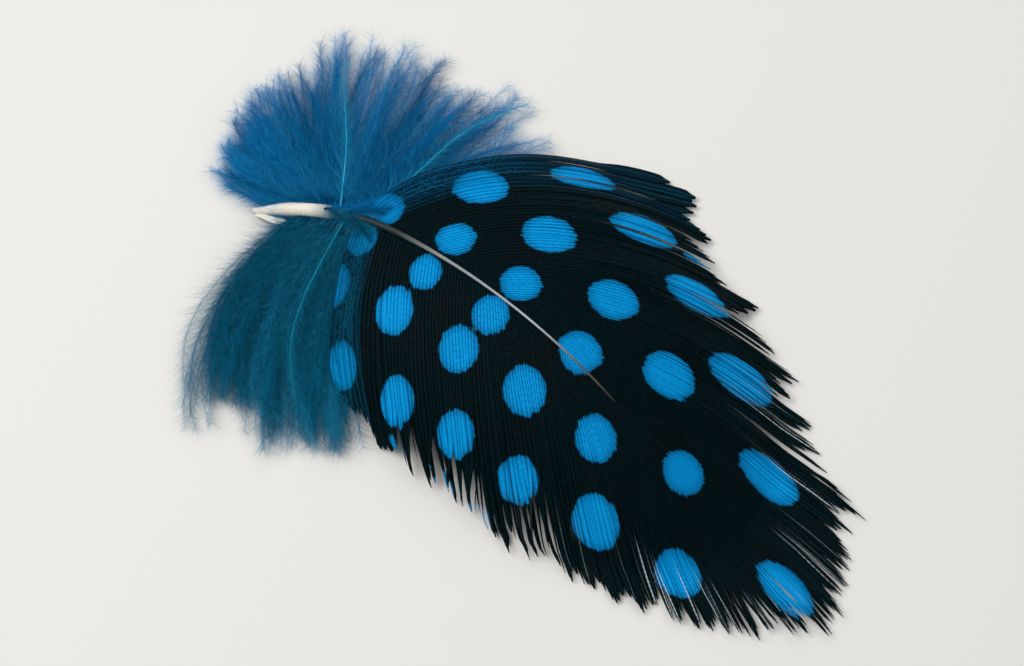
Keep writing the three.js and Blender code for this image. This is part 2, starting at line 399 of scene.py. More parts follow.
def barb_length_share(side, place):
    """Barb length over the longest: one parabola from the web's base to the peak, another on to the tip."""
    tipwards = place > BARB_PEAK
    reach = np.where(tipwards, 1 - BARB_PEAK, BARB_PEAK)
    end = np.where(tipwards, BARB_TIP_SHARE, side.barb_base_share)
    return 1 - (1 - end) * ((place - BARB_PEAK) / reach) ** 2


def barb_course(side, place, share, swing, stretch):
    """Along, out and angle of points on the web's barbs, by place along the web and share of the barb.

    The angles run from base to tip by power laws, and towards the tip the barbs close over the shaft.
    """
    place = np.clip(place, 0, 1)
    start = lerp(side.barb_angle, BARB_ANGLE_TIP, place ** BARB_ANGLE_POWER) + swing
    end = lerp(side.barb_end_angle, BARB_END_ANGLE_TIP, place ** BARB_END_POWER) + swing
    root = lerp(WEB_START, WEB_END, place)
    length = side.barb_length * barb_length_share(side, place) * stretch
    along, out, angle = bend(root, length, start, end, share)
    closed_over = lerp(ROOT_INSET, ROOT_CROSSING, ramp(root, *SHAFT_DIPS))
    rooted = lerp(closed_over * shaft_radius(root), shaft_radius(root) + GAP,
                  np.clip(share / BARB_ROOT_SHARE, 0, 1))
    closed = ramp(place, TIP_GATHER_STARTS, 1)
    return along, (out + rooted) * (1 - TIP_GATHER * closed) - TIP_CROSSING * closed, angle


def web_barbs(side):
    """The web's barbs as arrays (barb, step): middle line, directions, width, base tint, painted highlight on
    single rami and unshifted course.

    A barb's course is that of its place along the web. Locks gather it towards their middle, splits and frays
    push it aside and it wanders a little, all by shifting that place more and more towards the barb's tip.
    """
    barb = np.arange(BARBS, dtype=float)[:, None]
    share = np.linspace(0, 1, BARB_STEPS + 1)[None, :]
    place = (barb + 0.5) / BARBS
    lock = np.floor(place * WEB_LOCKS)
    middle = (lock + 0.5) / WEB_LOCKS
    off_middle = 2 * (place * WEB_LOCKS - lock) - 1
    swing = LOCK_ANGLE_SCATTER * scatter(lock, SERIES["lock_angle"] + side.sign)
    swing = swing * (1 - place) * (1 - off_middle ** 4)
    stretch = 1 + LOCK_LENGTH_SCATTER * scatter(lock, SERIES["lock_length"] + side.sign)
    stretch = stretch * (1 - LOCK_NOTCH * off_middle ** 2)
    stretch = stretch * (1 + BARB_LENGTH_SCATTER * scatter(barb, SERIES["barb_length"] + side.sign))

    open_lock = ramp(scatter(lock, SERIES["lock_open"] + side.sign), *LOCK_OPEN_RANGE)
    shift = (middle - place) * LOCK_GATHER * open_lock * ramp(share, LOCK_OPENS, 1)
    for split, opens, width in SPLITS[side.name]:
        aside = np.sign(place - split) * np.exp(-np.abs(place - split) / SPLIT_REACH)
        shift = shift + width * aside * ramp(share, opens, 1)
    phase = np.pi * scatter(barb, SERIES["wander"] + side.sign)
    shift = shift + BARB_WANDER * np.sin(BARB_WANDER_WAVES * share + phase) * share
    fray = np.zeros_like(place + share)
    for middle_place, reach, opens, strength in FRAYS[side.name]:
        near = 1 - ramp(np.abs(place - middle_place), 0.5 * reach, reach)
        fray = np.maximum(fray, strength * near * ramp(share, opens, 1))
    astray = scatter(barb, SERIES["fray"] + side.sign)
    shift = shift + FRAY_SPREAD * fray * astray
    stretch = stretch * (1 + FRAY_LONGER * fray[:, -1:] * (1 + astray))
    along, out, _ = barb_course(side, place + shift, share, swing, stretch)
    lift = LOCK_LIFT * scatter(lock, SERIES["lock_lift"] + side.sign) * share ** 3
    uneven = BARB_LIFT * scatter(barb, SERIES["barb_lift"] + side.sign)
    lift = np.abs(lift + uneven * ramp(share, *BARB_LIFT_RISES))
    ripple = 1 + np.sin(2 * np.pi * RIPPLES * place + RIPPLE_SLANT * share + side.sign)
    lift = lift + FRAY_LIFT * fray * np.abs(astray)
    lift = lift + RIPPLE_HEIGHT * ripple * ramp(share, *RIPPLE_RISES)
    centre, normal = vane_surface(side, along, out, lift)
    tangent = unit(np.gradient(centre, axis=1))
    across = unit(np.cross(normal, tangent))

    along, out, angle = barb_course(side, place, share, swing, stretch)
    spacing = np.abs(np.gradient(along, axis=0) * np.sin(angle) - np.gradient(out, axis=0) * np.cos(angle))
    half_width = np.clip(spacing * BARB_OVERLAP / 2, BARB_HALF_WIDTH_LEAST, BARB_HALF_WIDTH_MOST)
    half_width = half_width * lerp(1, BARB_POINT_SHARE, ramp(share, BARB_POINT_STARTS, 1))
    half_width = half_width * (1 - FRAY_THINNING * fray)
    base = np.broadcast_to(1 - ramp(place, 0.0, BASE_TINT_REACH), along.shape)
    worn = ramp(scatter(barb, SERIES["worn"] + side.sign), *RAMI_GLINT_RANGE)
    worn = worn * ramp(place, RAMI_GLINT_PLACE, RAMI_GLINT_PLACE + RAMI_GLINT_RISE)
    worn = worn * ramp(share, RAMI_GLINT_STARTS, RAMI_GLINT_STARTS + RAMI_GLINT_RISE)
    return {"centre": centre, "normal": np.cross(tangent, across), "tangent": tangent, "across": across,
            "half_width": half_width, "base": base, "worn": worn, "along": along, "out": out, "angle": angle}


def spot_places():
    """All spots as rows: along, signed distance out, half length, half width. A row closes by a power law."""
    found = []
    for sign, first, pitch, count, out_first, out_last, power, half_length, half_width in SPOT_ROWS:
        share = np.linspace(0, 1, count)
        along = first + pitch * np.arange(count)
        out = sign * lerp(out_first, out_last, share ** power)
        found.append(np.stack([along, out, np.full(count, half_length), np.full(count, half_width)], -1))
    spots = np.concatenate(found)
    k = np.arange(len(spots))
    spots[:, 0] += SPOT_PLACE_SCATTER * scatter(k, SERIES["spot_place"])
    spots[:, 1] += SPOT_PLACE_SCATTER * scatter(k, SERIES["spot_place"] + 1)
    spots[:, 2:] *= 1 + SPOT_SIZE_SCATTER * scatter(k, SERIES["spot_size"])[:, None]
    return spots


def spot_depth(side, barb, along, out, angle, forward, across):
    """How deep points lie inside the nearest spot, in mm, below 0 outside.

    A spot is an ellipse turned along the barb; each barb's stretch of it is shifted and sized a little anew.
    Forward and across are how far a point lies from its place on the barb's line, along and across it.
    """
    along_spot, out_spot, half_length, half_width = spot_places().T
    k = barb[..., None] * SPOT_STRIDE + np.arange(len(along_spot))
    cos, sin = np.cos(angle)[..., None], np.sin(angle)[..., None]
    ahead, beside = along[..., None] - along_spot, out[..., None] - side.sign * out_spot
    lengthwise = ahead * cos + beside * sin + np.asarray(forward)[..., None]
    lengthwise = lengthwise + SPOT_SHIFT * scatter(k, SERIES["spot_shift"] + side.sign)
    sideways = side.sign * (beside * cos - ahead * sin) + np.asarray(across)[..., None]
    size = 1 + SPOT_BARB_SCATTER * scatter(k, SERIES["spot_size"] + side.sign)
    reach = np.hypot(lengthwise / half_length, sideways / half_width)
    return ((size - reach) * half_width).max(-1)


def sample(values, share):
    """Values given at even steps along each barb, read between the steps at the given shares."""
    steps = values.shape[1] - 1
    at = np.clip(share * steps, 0, steps - 1e-6)
    low = at.astype(int)
    part = (at - low).reshape((1, -1) + (1,) * (values.ndim - 2))
    return values[:, low] * (1 - part) + values[:, low + 1] * part


def tube_faces(paths, steps, ring):
    """Quads between the rings of many closed tubes, and the end caps."""
    path, step, turn = np.meshgrid(np.arange(paths), np.arange(steps), np.arange(ring), indexing="ij")
    a = (path * (steps + 1) + step) * ring
    b = a + (turn + 1) % ring
    a = a + turn
    quads = np.stack([a, b, b + ring, a + ring], -1).reshape(-1, 4)
    first = np.arange(paths)[:, None] * (steps + 1) * ring + np.arange(ring)[None, :]
    return [quads, first[:, ::-1], first + steps * ring]


def strand_faces(strands, points):
    """Faces of three-sided strands that end in a point: a base, quads between rings, and the pointed end."""
    size = 3 * (points - 1) + 1
    start = np.arange(strands)[:, None, None] * size
    turn = np.arange(3)[None, None, :]
    ring = 3 * np.arange(points - 2)[None, :, None]
    a, b = start + ring + turn, start + ring + (turn + 1) % 3
    quads = np.stack([a, b, b + 3, a + 3], -1).reshape(-1, 4)
    last = start + 3 * (points - 2)
    apex = np.broadcast_to(start + size - 1, (strands, 1, 3))
    ends = np.stack([last + turn, last + (turn + 1) % 3, apex], -1).reshape(-1, 3)
    base = (start + np.array([2, 1, 0])).reshape(-1, 3)
    return [faces for faces in (quads, ends, base) if len(faces)]


def strand_points(line, radius):
    """Vertices of three-sided strands: three points round each place of the line, and one at its end."""
    forward = unit(np.gradient(line, axis=1))
    beside = unit(np.cross(forward, OFF_DIRECTION))
    rise = np.cross(forward, beside)
    around = 2 * np.pi * np.arange(3)[:, None] / 3
    outwards = beside[:, :-1, None, :] * np.cos(around) + rise[:, :-1, None, :] * np.sin(around)
    ring = line[:, :-1, None, :] + radius[..., :-1, None, None] * outwards
    return np.concatenate([ring.reshape(len(line), -1, 3), line[:, -1:]], 1)


def per_strand_vertex(values):
    """Spreads values given at the places of a strand over its rings of three and its end point."""
    return np.concatenate([np.repeat(values[:, :-1], 3, axis=1), values[:, -1:]], 1)


def add_piece(name, vertices, faces, material, uv, **attributes):
    """A mesh object from vertices in the feather's own millimetres and lists of equal faces.

    The map's places are given by corner or by vertex, and the attributes by vertex.
    """
    vertices = vertices.reshape(-1, 3)
    corners = np.concatenate([f.ravel() for f in faces])
    sizes = np.concatenate([np.full(len(f), f.shape[1]) for f in faces])
    mesh = bpy.data.meshes.new(name)
    mesh.vertices.add(len(vertices))
    mesh.vertices.foreach_set("co", ((vertices + frame_shift) * MM).astype(np.float32).ravel())
    mesh.loops.add(len(corners))
    mesh.loops.foreach_set("vertex_index", corners.astype(np.int32))
    mesh.polygons.add(len(sizes))
    mesh.polygons.foreach_set("loop_start", np.concatenate([[0], np.cumsum(sizes)[:-1]]).astype(np.int32))
    for title, values in attributes.items():
        layer = mesh.attributes.new(title, "FLOAT", "POINT")
        layer.data.foreach_set("value", values.astype(np.float32).ravel())
    mesh.update(calc_edges=True)
    layer = mesh.uv_layers.new(name="OFBake")
    layer.data.foreach_set("uv", (uv if len(uv) == len(corners) else uv[corners]).astype(np.float32).ravel())
    mesh.validate()
    mesh.materials.append(material)
    piece = bpy.data.objects.new(name, mesh)
    bpy.context.scene.collection.objects.link(piece)
    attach(piece, "root")
    return piece


def tube_uv(paths, steps, ring):
    """A strip of the map for each tube, from end to end, with its caps squeezed at the strip's ends."""
    path, step, turn = np.meshgrid(np.arange(paths), np.arange(steps), np.arange(ring), indexing="ij")
    around = (turn[..., None] + np.array([0, 1, 1, 0])) / ring
    onwards = (step[..., None] + np.array([0, 0, 1, 1])) / steps
    u = (path[..., None] + lerp(TUBE_MARGIN, 1 - TUBE_MARGIN, around)) / paths
    v = lerp(TUBE_END_MARGIN, 1 - TUBE_END_MARGIN, onwards)
    sides = np.stack([u, v], -1).reshape(-1, 2)
    corner = lerp(TUBE_MARGIN, 1 - TUBE_MARGIN, np.arange(ring)[None, :] / ring)
    corner = (np.arange(paths)[:, None] + corner) / paths
    wave = TUBE_END_MARGIN / 2 * (np.arange(ring) % 2)[None, :] + np.zeros((paths, 1))
    first = np.stack([corner[:, ::-1], wave[:, ::-1]], -1).reshape(-1, 2)
    last = np.stack([corner, 1 - wave], -1).reshape(-1, 2)
    return np.concatenate([sides, first, last])


def linear(hex_colour):
    """An sRGB hex colour as linear RGBA."""
    srgb = np.array([int(hex_colour[i:i + 2], 16) for i in (1, 3, 5)]) / 255
    value = np.where(srgb <= 0.04045, srgb / 12.92, ((srgb + 0.055) / 1.055) ** 2.4)
    return (*value.tolist(), 1.0)


def new_material(name, **sockets):
    """A material with one shader, and values set on the shader's sockets."""
    material = bpy.data.materials.new(name)
    material.use_nodes = True
    shader = material.node_tree.nodes["Principled BSDF"]
    for title, value in sockets.items():
        shader.inputs[title.replace("_", " ")].default_value = value
    return material, shader


def add_node(material, kind, output, inputs, **settings):
    """One output of a new node with its settings, and with inputs set to values or linked to outputs."""
    node = material.node_tree.nodes.new(kind)
    for title, value in settings.items():
        setattr(node, title, value)
    for title, value in inputs.items():
        if isinstance(value, bpy.types.NodeSocket):
            material.node_tree.links.new(value, node.inputs[title])
        else:
            node.inputs[title].default_value = value
    return node.outputs[output]


def tint(material, under, over, value, low, high, amount=1.0, easing="SMOOTHSTEP"):
    """One colour laid over another by as much as a value has risen from low to high, up to an amount."""
    ends = {"Value": value, "From Min": low, "From Max": high, "To Max": amount}
    share = add_node(material, "ShaderNodeMapRange", "Result", ends, interpolation_type=easing)
    return add_node(material, "ShaderNodeMix", 2, {"Factor": share, 6: under, 7: over}, data_type="RGBA")


def spotted_barbs():
    """Melanin-black barbs with spots that took up blue dye: satin, each ramus catching a line of light.

    A fine grain roughens the spots' edges, slow clouds vary the black, and single rami turn white towards
    their ends as a painted highlight.
    """
    material, shader = new_material("spotted_barb_keratin", Roughness=0.55, Specular_IOR_Level=0.03)
    place = add_node(material, "ShaderNodeTexCoord", "Object", {})
    depth, ridge, base, worn = (add_node(material, "ShaderNodeAttribute", "Fac", {}, attribute_name=name)
                                for name in ("spot_depth", "ridge", "base", "worn"))
    grain, cloud = (add_node(material, "ShaderNodeTexNoise", "Fac",
                             {"Vector": place, "Scale": 1 / (size * MM), "Detail": detail})
                    for size, detail in ((BARB_GRAIN, 2.0), (BARB_CLOUDS, 3.0)))
    edge = add_node(material, "ShaderNodeMath", 0, {0: grain, 1: SPOT_EDGE_GRAIN, 2: depth},
                    operation="MULTIPLY_ADD")
    ground = tint(material, linear("#001215"), linear("#060D11"), cloud, 0.4, 0.7)
    ground = tint(material, ground, linear("#0C2023"), grain, 0.56, 0.7, 0.5)
    # Painted highlight along each ramus on the black ground; the barbs' edges stay darker, as painted shade
    ground = tint(material, ground, linear("#0A242B"), ridge, 0.1, 1.0, 0.6)
    ground = tint(material, ground, linear("#041F29"), base, 0.0, 1.0, easing="LINEAR")
    dyed = tint(material, linear("#0374AE"), linear("#048FD2"), edge, 0.35, 1.15)
    # Painted highlight along each ramus on the blue spots
    dyed = tint(material, dyed, linear("#12B4F4"), ridge, 0.1, 1.0, 0.55)
    colour = tint(material, ground, dyed, edge, 0.13, 0.41)
    # Painted highlight: single rami turn white towards their ends
    colour = tint(material, colour, linear("#C6D6DC"), worn, 0.0, 0.7, 0.85)
    material.node_tree.links.new(colour, shader.inputs["Base Color"])
    return material


def dyed_down(side, root, middle, end, pale):
    """Soft white down dyed blue: dull, deep towards the shaft as painted shade where it crowds, and paler at
    its ends as painted light.

    The dye took unevenly, barb by barb, and single pale barbs carry a painted highlight.
    """
    name = side.name + "_dyed_down_keratin"
    material, shader = new_material(name, Roughness=0.75, Specular_IOR_Level=0.03)
    outward, tip, tone = (add_node(material, "ShaderNodeAttribute", "Fac", {}, attribute_name=title)
                          for title in ("outward", "tip", "tone"))
    # Painted shade deepens the down towards the shaft and painted light brightens its ends
    colour = tint(material, linear(root), linear(middle), outward, 0.0, 1.0, easing="LINEAR")
    colour = tint(material, colour, linear(end), tip, 0.0, 1.0, 0.6)
    colour = tint(material, colour, linear("#023A5C"), tone, 0.55, 0.0, 0.65)
    colour = tint(material, colour, linear("#3CBDF0"), tone, 0.8, 1.0, 0.5)
    # Painted highlight on the single pale barbs
    colour = tint(material, colour, linear(pale), tone, 1.0, PALE_TONE, 0.9)
    material.node_tree.links.new(colour, shader.inputs["Base Color"])
    return material


def shaft_horn():
    """Smooth horn: a cream, faintly glassy quill, stained where the down grows, then grey with a paler
    stretch that is partly a painted highlight, then black.
    """
    material, shader = new_material("quill_horn", Roughness=0.4, Specular_IOR_Level=0.2)
    uv = add_node(material, "ShaderNodeUVMap", "UV", {}, uv_map="OFBake")
    along = add_node(material, "ShaderNodeSeparateXYZ", "Y", {"Vector": uv})
    tones = add_node(material, "ShaderNodeValToRGB", "Color", {"Fac": along})
    # The pale grey stretch of the rachis is partly its own colour and partly a painted highlight
    stops = ((0.0, "#EFE9DC"), (0.11, "#E8E0D0"), (0.15, "#3A6A80"), (0.19, "#0A2833"), (0.27, "#2A3234"),
             (0.36, "#8A8E8E"), (0.54, "#B0B6B9"), (0.64, "#5E5A56"), (0.74, "#0C0A08"))
    ramp_stops = tones.node.color_ramp.elements
    while len(ramp_stops) < len(stops):
        ramp_stops.new(0.5)
    for stop, (place, tone) in zip(ramp_stops, stops):
        stop.position = place
        stop.color = linear(tone)
    material.node_tree.links.new(tones, shader.inputs["Base Color"])
    return material


def make_shaft(material):
    """The shaft as one smooth tube with a groove beneath, which dips under the barbs towards the tip."""
    rings = shaft_rings(SHAFT_STEPS, SHAFT_SIDES, SHAFT_GROOVE)
    along = SHAFT_LENGTH * np.linspace(0, 1, SHAFT_STEPS + 1)[:, None]
    rings[..., 2] -= SHAFT_DIP * ramp(along, *SHAFT_DIPS)
    piece = add_piece("shaft_horn", rings, tube_faces(1, SHAFT_STEPS, SHAFT_SIDES), material,
                      tube_uv(1, SHAFT_STEPS, SHAFT_SIDES))
    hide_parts("shaft")


def make_sheath_strip(material):
    """A flat strip beside the quill that curls away from it by a power law and narrows at both ends."""
    share = np.linspace(0, 1, STRIP_STEPS + 1)[:, None]
    along = lerp(*STRIP_RUN, share)
    left = shaft_axes(along)[0]
    curl = share ** STRIP_CURL_POWER
    out = lerp(*STRIP_OUT, ramp(share, 0, STRIP_OUT_BY)) + STRIP_CURL * curl
    middle = shaft_point(along) - left * out[..., None]
    middle[..., 2] -= STRIP_DROP * curl
    across = unit(np.cross(UP, np.gradient(middle, axis=0)))
    around = 2 * np.pi * np.arange(STRIP_SIDES)[None, :] / STRIP_SIDES
    narrow = lerp(STRIP_END_SHARE, 1.0, np.sqrt(np.sin(np.pi * np.clip(share, *STRIP_ENDS))))
    rings = middle + across * (STRIP_HALF_WIDTH * narrow * np.cos(around))[..., None]
    rings[..., 2] += STRIP_HALF_THICKNESS * narrow * np.sin(around)
    uv = tube_uv(1, STRIP_STEPS, STRIP_SIDES) * np.array([1.0, STRIP_TONES])
    piece = add_piece("quill_sheath_strip", rings, tube_faces(1, STRIP_STEPS, STRIP_SIDES), material, uv)


def make_web(side, barbs, material):
    """One vane's barbs: ribbons with a raised middle, carried along the barbs' lines."""
    ring = len(RIBBON_ACROSS)
    wide = barbs["half_width"][..., None] * np.array(RIBBON_ACROSS)
    tilted = np.array(RIBBON_UP) + side.sign * RIBBON_TILT * np.array(RIBBON_ACROSS)
    raised = (barbs["half_width"] / BARB_HALF_WIDTH_MOST)[..., None] ** 0.5 * tilted
    points = (barbs["centre"][..., None, :] - barbs["across"][..., None, :] * wide[..., None]
              + barbs["normal"][..., None, :] * raised[..., None])
    # The painted highlight along the ramus, weaker at the barb's root
    brighter = np.linspace(RIBBON_HIGHLIGHT_AT_ROOT, 1, BARB_STEPS + 1)[:, None]
    ridge = np.broadcast_to(brighter * np.array(RIBBON_HIGHLIGHT), points.shape[:-1])
    course = (barbs[k][..., None] for k in ("along", "out", "angle"))
    depth = spot_depth(side, np.arange(BARBS, dtype=float)[:, None, None], *course, 0.0, -wide)
    faces = tube_faces(BARBS, BARB_STEPS, ring)
    base = np.broadcast_to(barbs["base"][..., None], points.shape[:-1])
    # Painted highlight on single rami, where the ramus shows
    worn = barbs["worn"][..., None] * np.array(RIBBON_HIGHLIGHT)
    piece = add_piece(side.name + "_barbs", points, faces, material, tube_uv(BARBS, BARB_STEPS, ring),
                      spot_depth=depth, ridge=ridge, base=base, worn=worn)
    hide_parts(side.name + "_vane")


def make_barbules(side, barbs, material):
    """The barbules on both sides of each ramus: straight spikes that slant towards the barb's tip."""
    share = (np.arange(BARBULES) + 0.5) / BARBULES
    centre, across, normal, tangent, half_width, base = (
        sample(barbs[k], share) for k in ("centre", "across", "normal", "tangent", "half_width", "base"))
    course = [sample(barbs[k], share)[..., None] for k in ("along", "out", "angle")]
    barb = np.arange(BARBS, dtype=float)[:, None, None]
    k = np.arange(half_width.size, dtype=float).reshape(half_width.shape)
    lines, depths, cells = [], [], []
    for flank in (1, -1):
        turn = BARBULE_ANGLE + BARBULE_ANGLE_SCATTER * scatter(k, SERIES["barbule_angle"] + flank)
        turn = np.radians(turn)
        length = BARBULE_LENGTH * (half_width / BARB_HALF_WIDTH_MOST) ** 0.5
        length = length * (1 + BARBULE_LENGTH_SCATTER * scatter(k, SERIES["barbule_length"] + flank))
        ahead = tangent * np.cos(turn)[..., None] + across * (flank * np.sin(turn))[..., None]
        root_out = BARBULE_ROOT_OUT * half_width
        root = centre + across * (flank * root_out)[..., None] + normal * BARBULE_ROOT_UP
        tip = root + ahead * length[..., None] + normal * (flank * side.sign * BARBULE_TIP_RISE)
        lines.append(np.stack([root, tip], -2).reshape(-1, 2, 3))
        forward = np.stack([0 * length, length * np.cos(turn)], -1)
        aside = flank * np.stack([root_out, root_out + length * np.sin(turn)], -1)
        depths.append(spot_depth(side, barb, *course, forward, aside).reshape(-1, 2))
        u = (np.arange(BARBS)[:, None, None] + 0.5 + flank * np.array(BARBULE_CELL_ACROSS)) / BARBS
        v = share[None, :, None] + np.array(BARBULE_CELL_ALONG) / BARBULES
        cells.append(np.stack(np.broadcast_arrays(u, v), -1).reshape(-1, 2))
    line = np.concatenate(lines)
    line[..., 2] = np.maximum(line[..., 2], 2 * BARBULE_RADIUS)
    points = strand_points(line, np.full(line.shape[:2], BARBULE_RADIUS))
    depth = per_strand_vertex(np.concatenate(depths))
    base = np.broadcast_to(np.tile(base.ravel(), 2)[:, None], points.shape[:2])
    # The barbules take the barbs' painted highlight, less at their ends
    ridge = np.broadcast_to(np.array(BARBULE_HIGHLIGHTS), points.shape[:2])
    faces = strand_faces(len(line), 2)
    piece = add_piece(side.name + "_barbules", points, faces, material, np.concatenate(cells),
                      spot_depth=depth, ridge=ridge, base=base, worn=np.zeros(points.shape[:2]))


def down_barbs(side):
    """Lines of the downy barbs, by (barb, step): spread evenly over the section of each lock's spindle.

    They sink from the shaft to the surface by a power law, and wave more towards their ends.
    """
    lock = np.repeat(np.arange(DOWN_LOCKS, dtype=float), DOWN_BARBS_PER_LOCK)[:, None]
    barb = np.arange(len(lock), dtype=float)[:, None]
    share = np.linspace(0, 1, DOWN_BARB_STEPS + 1)[None, :]
    apart = (barb % DOWN_BARBS_PER_LOCK + 0.5) / DOWN_BARBS_PER_LOCK - 0.5
    place = np.clip((lock + DOWN_LOCK_LOOSENESS * apart) / (DOWN_LOCKS - 1), 0, 1)
    length = side.down_length * lerp(side.down_quill_share, 1, ramp(place, 0, DOWN_FULL_PLACE))
    length = length * (1 + DOWN_LENGTH_SCATTER * scatter(lock, SERIES["down_length"] + side.sign))
    length = length * (1 - DOWN_BARB_SHORTER * scatter(barb, SERIES["barb_length"] + side.sign) ** 2)
    start = lerp(side.down_quill_angle, side.down_web_angle, place)
    end = lerp(side.down_quill_angle + side.down_quill_curl, side.down_web_angle * DOWN_SWEEP, place)
    end = end + DOWN_CURL_SCATTER * scatter(lock, SERIES["down_curl"] + side.sign)
    end = end + DOWN_BARB_SCATTER * scatter(barb, SERIES["barb_angle"] + side.sign)
    root = lerp(DOWN_START, DOWN_BARBS_END, place)
    rooted, left = shaft_point(root), shaft_axes(root)[0]
    ahead = np.stack([left[..., 1], -left[..., 0], left[..., 2]], -1)
    along, out, angle = bend(0.0, length, start, end, share)
    ring = np.sqrt((barb % DOWN_BARBS_PER_LOCK + 0.5) / DOWN_BARBS_PER_LOCK)
    around = barb * GOLDEN_ANGLE
    spread = np.sin(np.pi * share * DOWN_SPLAY) ** DOWN_SPLAY_POWER
    wide = DOWN_BARB_SPREAD * DOWN_HALF_WIDTH * spread * ring * np.cos(around)
    phase_wide = np.pi * scatter(barb, SERIES["down_wave"] + side.sign)
    phase_high = np.pi * scatter(barb, SERIES["down_rise"] + side.sign)
    wide = wide + DOWN_WAVE * share * np.sin(DOWN_WAVES_WIDE * share + phase_wide)
    half_height = DOWN_HALF_HEIGHT * spread + DOWN_LEAST_HALF_HEIGHT
    height = lerp(half_height * DOWN_FLATTENING, rooted[..., 2], (1 - share) ** DOWN_DROOP_POWER)
    height = height + half_height * ring * np.sin(around)
    height = height + DOWN_WAVE * share * np.sin(DOWN_WAVES_HIGH * share + phase_high)
    onwards = along - wide * np.sin(angle)
    sideways = side.sign * (out + DOWN_ROOT_INSET * shaft_radius(root) + wide * np.cos(angle))
    line = rooted + ahead * onwards[..., None] + left * sideways[..., None]
    line[..., 2] = np.maximum(rest_on(height, 0.0), 2 * DOWN_BARB_RADIUS)
    return line


def make_fluff(side, name, line, full, pale, starts, material):
    """Threads along lines (strand, step) that thin to their ends, with hair-fine barbules slanting forwards.

    The barbules stand all round a thread by the golden angle, from a share of its length on. Full, by strand
    and step, is how long they and how thick the threads are, from 0 to 1. Pale threads, by strand 0 or 1, are
    stouter and carry a painted highlight.
    """
    steps = line.shape[1] - 1
    share = np.broadcast_to(np.linspace(0, 1, steps + 1), line.shape[:2])
    stout = lerp(1.0, PALE_STOUTER, pale)[:, None]
    threads = strand_points(line, DOWN_BARB_RADIUS * stout * full * (1 - DOWN_BARB_THINNING * share))
    step = lerp(starts, 1.0, (np.arange(DOWN_BARBULES) + 0.5) / DOWN_BARBULES)
    root = sample(line, step)
    ahead = unit(sample(unit(np.gradient(line, axis=1)), step))
    k = np.arange(root[..., 0].size, dtype=float).reshape(root.shape[:2])
    beside = unit(np.cross(ahead, UP))
    rise = np.cross(beside, ahead)
    turn = k * GOLDEN_ANGLE + scatter(k, SERIES["down_turn"] + side.sign)
    outward = beside * np.cos(turn)[..., None] + rise * (DOWN_BARBULE_FLATNESS * np.sin(turn))[..., None]
    angle = DOWN_BARBULE_ANGLE + DOWN_BARBULE_TURN * scatter(k, SERIES["barbule_angle"] + side.sign)
    angle = np.radians(angle)[..., None]
    length = 1 + DOWN_BARBULE_LENGTH_SCATTER * scatter(k, SERIES["barbule_length"] + side.sign)
    length = DOWN_BARBULE_LENGTH * length * sample(full, step)
    length = (length * lerp(1.0, DOWN_BARBULE_END_SHARE, step ** 2))[..., None]
    tip = root + length * (ahead * np.cos(angle) + outward * np.sin(angle))
    hair = np.stack([root, tip], -2).reshape(-1, 2, 3)
    hair[..., 2] = np.maximum(rest_on(hair[..., 2], 0.0), 2 * DOWN_BARBULE_RADIUS)
    hairs = strand_points(hair, np.full(hair.shape[:2], DOWN_BARBULE_RADIUS))
    barb = np.arange(len(line), dtype=float)[:, None]
    hair_barb = np.broadcast_to(barb, root.shape[:2]).reshape(-1, 1)
    hair_share = np.broadcast_to(step, root.shape[:2]).reshape(-1, 1)
    pairs = ((barb, hair_barb), (share, hair_share), (0.0, np.array(DOWN_BARBULE_TIPWARDS)))
    strand, out, tip_share = (
        np.concatenate([per_strand_vertex(np.broadcast_to(of_thread, share.shape)).ravel(),
                        per_strand_vertex(np.broadcast_to(of_hair, hair.shape[:2])).ravel()])
        for of_thread, of_hair in pairs)
    uv = np.stack([(strand + lerp(DOWN_MARGIN, 1 - DOWN_MARGIN, tip_share)) / len(line), out], -1)
    thread_faces = strand_faces(len(line), steps + 1)
    hair_faces = [f + threads[..., 0].size for f in strand_faces(len(hair), 2)]
    points = np.concatenate([threads.reshape(-1, 3), hairs.reshape(-1, 3)])
    tone = 0.5 + 0.5 * scatter(strand, SERIES["down_tone"] + side.sign)
    # Pale threads take the tone of the painted highlight
    tone = np.where(pale[strand.astype(int)] > 0, PALE_TONE, tone)
    piece = add_piece(name, points, thread_faces + hair_faces, material, uv,
                      outward=out, tip=tip_share, tone=tone)
    return piece


def rachis_wisps(side):
    """Lines (wisp, step) of down that leaves the shaft's top at a slant and runs on over the vane's foot."""
    wisp = np.arange(WISPS, dtype=float)[:, None]
    share = np.linspace(0, 1, DOWN_BARB_STEPS + 1)[None, :]
    loose = WISP_ANGLE_SCATTER * scatter(wisp, SERIES["down_curl"] + side.sign)
    angle = np.radians(WISP_ANGLE + WISP_TURN * (wisp % WISP_TURNS) + loose)
    along = WISPS_START + WISPS_PITCH * wisp + WISP_LENGTH * share * np.cos(angle)
    out = WISP_LENGTH * share * np.sin(angle)
    return vane_surface(side, along, out, lerp(shaft_radius(along), FLUFF_RAISED, share))[0]


